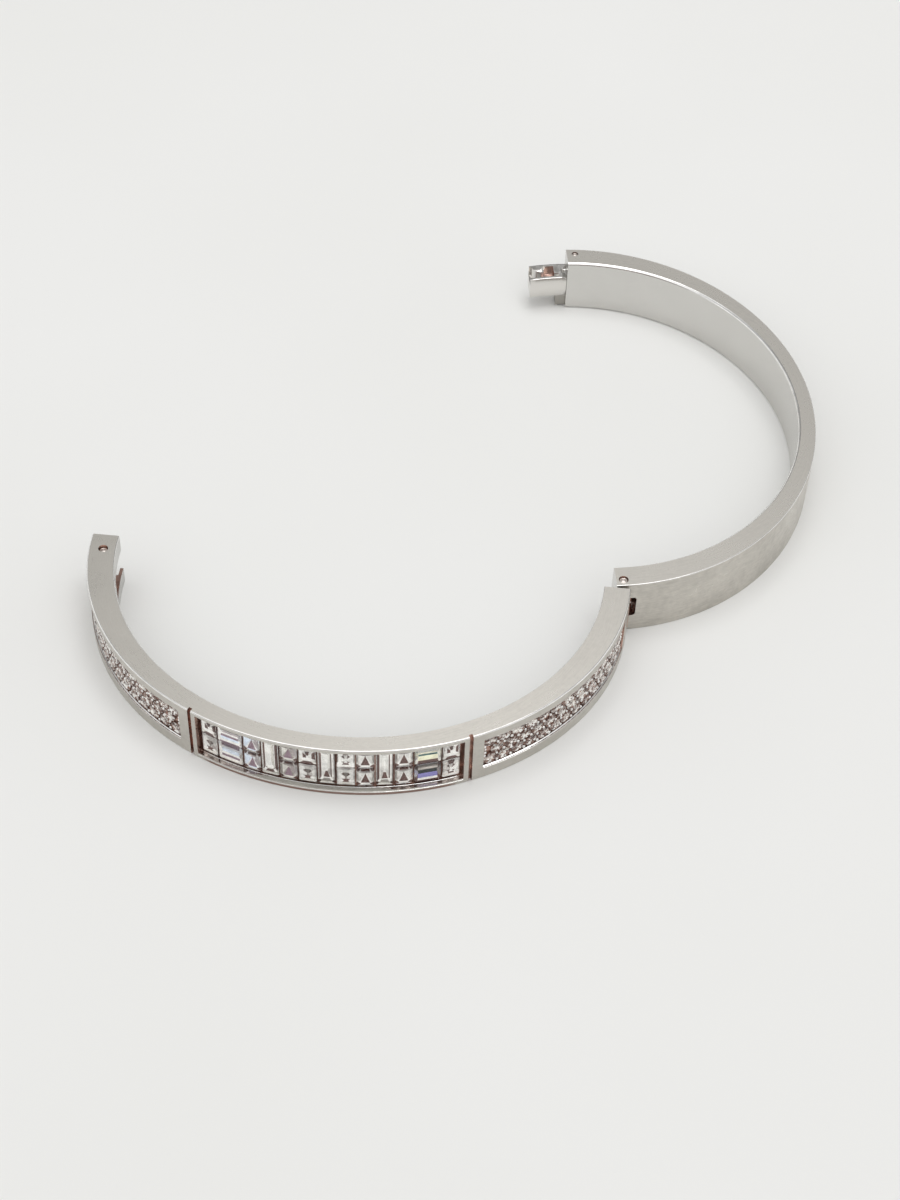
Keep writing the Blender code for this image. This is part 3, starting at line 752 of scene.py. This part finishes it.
def pave_plate(side, name, material):
    """Curved plate that the round stones stand in."""
    bm = bmesh.new()
    steps = 96
    columns = []
    for index in range(steps + 1):
        arc = PAVE_START_ARC + 0.03 + (PAVE_END_ARC - PAVE_START_ARC - 0.06) * index / steps
        column = []
        for depth, height in ((PAVE_PLATE_TOP, PAVE_LOW + 0.03), (PAVE_PLATE_TOP, PAVE_HIGH - 0.03),
                              (PAVE_FLOOR, PAVE_HIGH - 0.03), (PAVE_FLOOR, PAVE_LOW + 0.03)):
            place = front_place(wall_point(angle_at_arc(side * arc), depth))
            column.append(bm.verts.new((place.x, place.y, height)))
        columns.append(column)
    for near, far in zip(columns, columns[1:]):
        for corner in range(4):
            bm.faces.new((near[corner], near[(corner + 1) % 4], far[(corner + 1) % 4], far[corner]))
    bm.faces.new(columns[0])
    bm.faces.new(columns[-1])
    bmesh.ops.recalc_face_normals(bm, faces=bm.faces)
    obj = link_piece(name, bm, [material], "front_half")
    obj.data.shade_smooth()
    obj.data.set_sharp_from_angle(angle=math.radians(40))


def bright_cut(name, start, end, profile, material):
    """Bright-cut strip along a window's edge; its profile starts with the cut face."""
    bm = bmesh.new()
    steps = 90
    rings = []
    for index in range(steps + 1):
        angle = angle_at_arc(start + (end - start) * index / steps)
        places = [(front_place(wall_point(angle, depth)), height) for depth, height in profile]
        rings.append([bm.verts.new((place.x, place.y, height)) for place, height in places])
    count = len(profile)
    for near, far in zip(rings, rings[1:]):
        for corner in range(count):
            follow = (corner + 1) % count
            bm.faces.new((near[corner], near[follow], far[follow], far[corner]))
    bm.faces.new(rings[0])
    bm.faces.new(rings[-1])
    bmesh.ops.recalc_face_normals(bm, faces=bm.faces)
    obj = link_piece(name, bm, [material], "front_half")
    obj.data.shade_smooth()
    obj.data.set_sharp_from_angle(angle=math.radians(30))


def pave_beads(side, name, material, rng):
    """Metal beads raised between the stones, which hold their girdles."""
    bm = bmesh.new()
    pitch = (PAVE_END_ARC - PAVE_START_ARC) / PAVE_COLUMNS
    middle = (PAVE_LOW + PAVE_HIGH) / 2
    places = []
    for half in (-1, 1):
        for column in range(PAVE_COLUMNS - 1):
            places.append((column + 1.0, middle + half * PAVE_ROW_SPACING * 0.64, 0.2))
            places.append((column + 1.0, middle + half * (PAVE_ROW_SPACING + 0.55), 0.22))
        for column in range(PAVE_COLUMNS - 2):
            places.append((column + 1.5, middle + half * PAVE_ROW_SPACING * 0.36, 0.2))
        for column in (0.0, PAVE_COLUMNS):
            places.append((column + (0.16 if column == 0 else -0.16), middle + half * 0.25, 0.22))
            places.append((column + (0.12 if column == 0 else -0.12), middle + half * 0.75, 0.2))
    for column, height, radius in places:
        arc = side * (PAVE_START_ARC + pitch * column)
        matrix = wall_matrix(arc + rng.uniform(-0.04, 0.04), height + rng.uniform(-0.03, 0.03))
        flat = Matrix.Diagonal((1, BEAD_FLATTENING, 1, 1))
        matrix = matrix @ Matrix.Translation((0, BEAD_DEPTH, 0)) @ flat
        size = radius * rng.uniform(0.85, 1.1)
        bmesh.ops.create_icosphere(bm, subdivisions=2, radius=size, matrix=matrix)
    obj = link_piece(name, bm, [material], "front_half")
    obj.data.shade_smooth()


# ---------------------------------------------------------------- stage

def add_camera():
    data = bpy.data.cameras.new("camera")
    data.lens = CAMERA_LENS
    data.clip_start = 0.01
    camera = bpy.data.objects.new("camera", data)
    bpy.context.scene.collection.objects.link(camera)
    place = Vector(CAMERA_PLACE) * MM
    aim = Vector(CAMERA_TARGET) * MM - place
    turn = aim.to_track_quat("-Z", "Y").to_matrix().to_4x4()
    roll = Matrix.Rotation(math.radians(CAMERA_ROLL), 4, "Z")
    camera.matrix_world = Matrix.Translation(place) @ turn @ roll
    bpy.context.scene.camera = camera


def add_floor():
    """Wide sheet of matt white paper that rises a little far away."""
    bm = bmesh.new()
    verts = [bm.verts.new((reach, 0, rise)) for reach, rise in FLOOR_PROFILE]
    edges = [bm.edges.new(pair) for pair in zip(verts, verts[1:])]
    bmesh.ops.spin(bm, geom=verts + edges, cent=(0, 0, 0), axis=(0, 0, 1), angle=math.tau, steps=64)
    bmesh.ops.remove_doubles(bm, verts=bm.verts, dist=0.0005)
    mesh = bpy.data.meshes.new("paper_floor")
    bm.to_mesh(mesh)
    bm.free()
    mesh.shade_smooth()
    floor = bpy.data.objects.new("paper_floor", mesh)
    bpy.context.scene.collection.objects.link(floor)
    floor.location.z = -FLOOR_DROP
    material, tree, shader = new_material("paper")
    position = node(tree, "ShaderNodeTexCoord").outputs["Object"]
    fibre = noise(tree, position, 1500.0, 4.0, 0.6)
    cloud = noise(tree, position, 14.0, 2.0, 0.5)
    colours = tint(tree, scale_range(tree, cloud, 0.3, 0.7, 0.0, 1.0), *PAPER_SHADES)
    bump = node(tree, "ShaderNodeBump", {"Height": fibre, "Strength": 0.08, "Distance": 0.0001})
    feed(tree, shader, Base_Color=colours, Roughness=0.85, Normal=bump.outputs[0])
    mesh.materials.append(material)


def add_light():
    """White room, dim behind, with a warm dark gap low in front, and a soft light above."""
    world = bpy.data.worlds.new("soft_room")
    world.use_nodes = True
    tree = world.node_tree
    direction = node(tree, "ShaderNodeTexCoord").outputs["Generated"]
    parts = node(tree, "ShaderNodeSeparateXYZ", {0: direction})
    x, y, z = parts.outputs
    ramp = node(tree, "ShaderNodeValToRGB", {"Fac": z})
    while len(ramp.color_ramp.elements) < len(ROOM_LEVELS):
        ramp.color_ramp.elements.new(1.0)
    for element, (place, level) in zip(ramp.color_ramp.elements, ROOM_LEVELS):
        element.position = place
        element.color = (level, level, level, 1)
    window_offset = calc(tree, "ABSOLUTE", calc(tree, "SUBTRACT", x, 0.03))
    off_window = scale_range(tree, window_offset, 0.05, 0.3, 0.0, 1.0)
    behind = calc(tree, "MULTIPLY", off_window, scale_range(tree, y, 0.2, 0.5, 0.0, 1.0))
    room = tint(tree, behind, ramp.outputs[0], DIM_BEHIND)
    to_front = scale_range(tree, y, -0.15, -0.5, 0.0, 1.0)
    high = scale_range(tree, z, 0.38, 0.55, 0.0, 1.0)
    bright = tint(tree, calc(tree, "MULTIPLY", to_front, high), room, BRIGHT_FRONT)
    sideways = scale_range(tree, calc(tree, "ABSOLUTE", x), 0.7, 0.9, 0.0, 1.0)
    low_side = calc(tree, "MULTIPLY", scale_range(tree, z, 0.05, 0.12, 0.0, 1.0),
                    scale_range(tree, z, 0.40, 0.32, 0.0, 1.0))
    sides = tint(tree, calc(tree, "MULTIPLY", sideways, low_side), bright, BRIGHT_SIDES)
    low = scale_range(tree, z, 0.42, 0.30, 0.0, 1.0)
    middle = scale_range(tree, calc(tree, "ABSOLUTE", x), 0.8, 0.5, 0.0, 1.0)
    gap = calc(tree, "MULTIPLY", calc(tree, "MULTIPLY", low, middle), to_front)
    colours = tint(tree, gap, sides, DARK_GAP)
    tree.links.new(colours, tree.nodes["Background"].inputs["Color"])
    tree.nodes["Background"].inputs["Strength"].default_value = 1.0
    bpy.context.scene.world = world

    data = bpy.data.lights.new("softbox", "AREA")
    data.shape = "RECTANGLE"
    data.size, data.size_y = SOFTBOX_SIDES
    data.energy = SOFTBOX_POWER
    lamp = bpy.data.objects.new("softbox", data)
    bpy.context.scene.collection.objects.link(lamp)
    lamp.location = SOFTBOX_PLACE
    lamp.rotation_euler = (-lamp.location).to_track_quat("-Z", "Y").to_euler()


# ---------------------------------------------------------------- making

add_camera()

front_centre = -OPEN_CENTRE
back_centre = back_place((0, 0))
# The tops get STEEL; walls, inner faces, lug, tongue and spring get copies of it made darker by the
# given shares, as painted shade
front_satin = satin_material("front_satin", front_centre, STEEL, 0.31, 1.25)
front_wall = front_wall_material("front_wall", front_centre, shade(STEEL, 0.67), 0.34)
back_satin = satin_material("back_satin", back_centre, STEEL, 0.31, 1.4)
back_wall = satin_material("back_wall", back_centre, SHADED_WARM_STEEL, 0.34, 1.7)
inner_front = satin_material("inner_front", front_centre, shade(SHADED_INNER_STEEL, 0.80), 0.24, 0.25)
inner_back = satin_material("inner_back", back_centre, SHADED_INNER_STEEL, 0.24, 0.25)
lug_steel = satin_material("lug_steel", back_centre, shade(SHADED_WARM_STEEL, 0.66), 0.4, 0.3)
polished = polished_material("polished_edge", BRIGHT_STEEL)
recess = recess_material("recess_shade", RECESS_SHADE_BROWN)
ledge = polished_material("ledge_steel", SHADED_LEDGE_STEEL, 0.2, 0.3)
bright = polished_material("bright_cut", (0.97, 0.965, 0.95), 0.1, 0.3)
pin_steel = polished_material("pin_steel", (0.78, 0.71, 0.66), 0.28)
tongue_steel = satin_material("tongue_steel", back_centre, SHADED_TONGUE_STEEL, 0.22, 0.15)
spring_steel = polished_material("spring_steel", shade(STEEL, 0.77), 0.2)

catch = clasp_point(*CATCH_PIN)
pivot = clasp_point(*TONGUE_PIN)
round_axes = [(HINGE, (0.56, 0.93)), (catch, (0.56,)), (pivot, (0.44,))]
front_metals = {"outer": front_wall, "flat": front_satin, "inner": inner_front, "edge": polished,
                "end": inner_front, "recess": recess, "ledge": ledge}
back_metals = {"outer": back_wall, "flat": back_satin, "inner": inner_back, "edge": polished,
               "end": inner_back, "lug": lug_steel, "recess": recess, "ledge": recess}
dress_band("front_band", 0.0, front_metals, round_axes)
dress_band("back_band", OPEN_ANGLE, back_metals, round_axes)
dress_tongue((tongue_steel, recess, bright))
dress_part("tongue_spring", (spring_steel,), 0.0)

# Name, node that it stands for, place, radius, lowest and highest point, and body of each pin
pins = (("hinge_rivet", "hinge_pin", front_place(HINGE), 0.52, 0.65, 7.34, "back_half"),
        ("catch_rivet", "catch_pin", front_place(catch), 0.52, 3.94, 7.16, "front_half"),
        ("tongue_rivet", "tongue_pin", back_place(pivot), 0.4, 0.65, 7.40, "back_half"))
for name, stands_for, place, radius, low, top, body in pins:
    turned_pin(name, stands_for, place, radius, low, top, pin_steel, body)

glass = glass_material("crystal_glass")
crystal_slots = [glass] + [foil_material("foil_" + name, colour) for name, colour in FOILS.items()]
channel_stones(crystal_slots)
# The plate under the round stones takes the same rose-brown painted shade
plate_shade = recess_material("pave_plate", RECESS_SHADE_BROWN)
bead_steel = polished_material("pave_beads", BRIGHT_STEEL, 0.15)
for side, label in ((-1, "left"), (1, "right")):
    rng = random.Random(40 + side)
    stones = pave_stones(side, "pave_stones_" + label, crystal_slots, rng)
    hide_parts("pave_" + label)
    pave_plate(side, "pave_plate_" + label, plate_shade)
    pave_beads(side, "pave_beads_" + label, bead_steel, rng)

    window = sorted((side * (PAVE_START_ARC + 0.02), side * (PAVE_END_ARC - 0.02)))
    bright_cut("pave_rim_" + label, *window, PAVE_RIM, bright)
bright_cut("channel_rim", -CHANNEL_ARC + 0.05, CHANNEL_ARC - 0.05, CHANNEL_RIM, bright)

add_floor()
add_light()

bpy.context.scene.view_settings.view_transform = "Standard"
